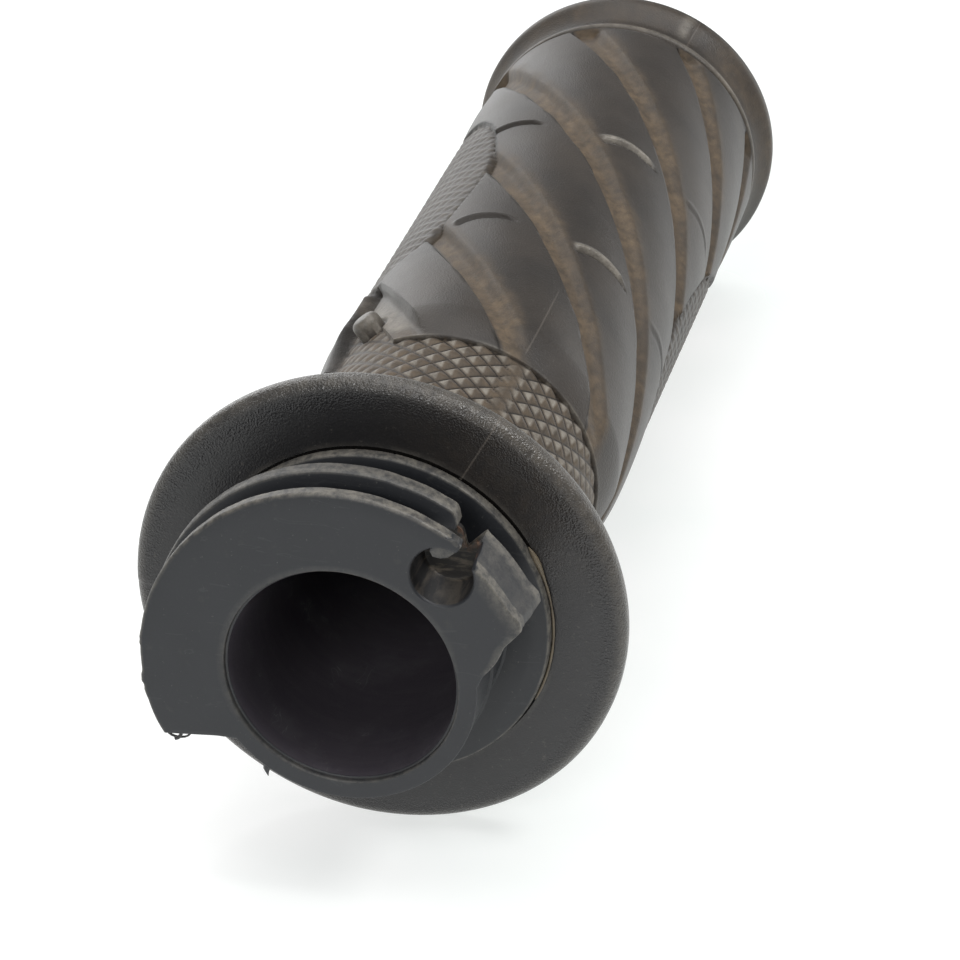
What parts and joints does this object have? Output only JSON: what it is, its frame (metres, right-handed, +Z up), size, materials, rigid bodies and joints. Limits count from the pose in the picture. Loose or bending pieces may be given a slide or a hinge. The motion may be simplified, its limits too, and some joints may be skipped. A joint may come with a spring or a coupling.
{
  "type": "throttle grip",
  "caption": "Motorcycle twist grip: a plastic throttle tube with a grooved cable pulley and stop disc, bonded into a textured rubber sleeve with an inboard flange and an end bead.",
  "frame": {"origin": "centre of the handlebar bore, in the plane of the cable pulley's front face", "axes": "+X along the bore from the pulley to the outboard end, +Z up, +Y completes a right-handed frame; the cable nipple's seat is 129 degrees from +Y, turning about +X"},
  "size_m": [0.138, 0.0498, 0.0498],
  "materials": {
    "tube_plastic": "satin moulded plastic, scuffed",
    "sleeve_rubber": "worn matte rubber, grained, with brown dirt in its channels",
    "cured_adhesive": "semi-gloss amber adhesive"
  },
  "bodies": {
    "root": {"throttle_tube": "tube_plastic", "grip_rubber": "sleeve_rubber", "adhesive_bead": "cured_adhesive"}
  },
  "joints": []
}
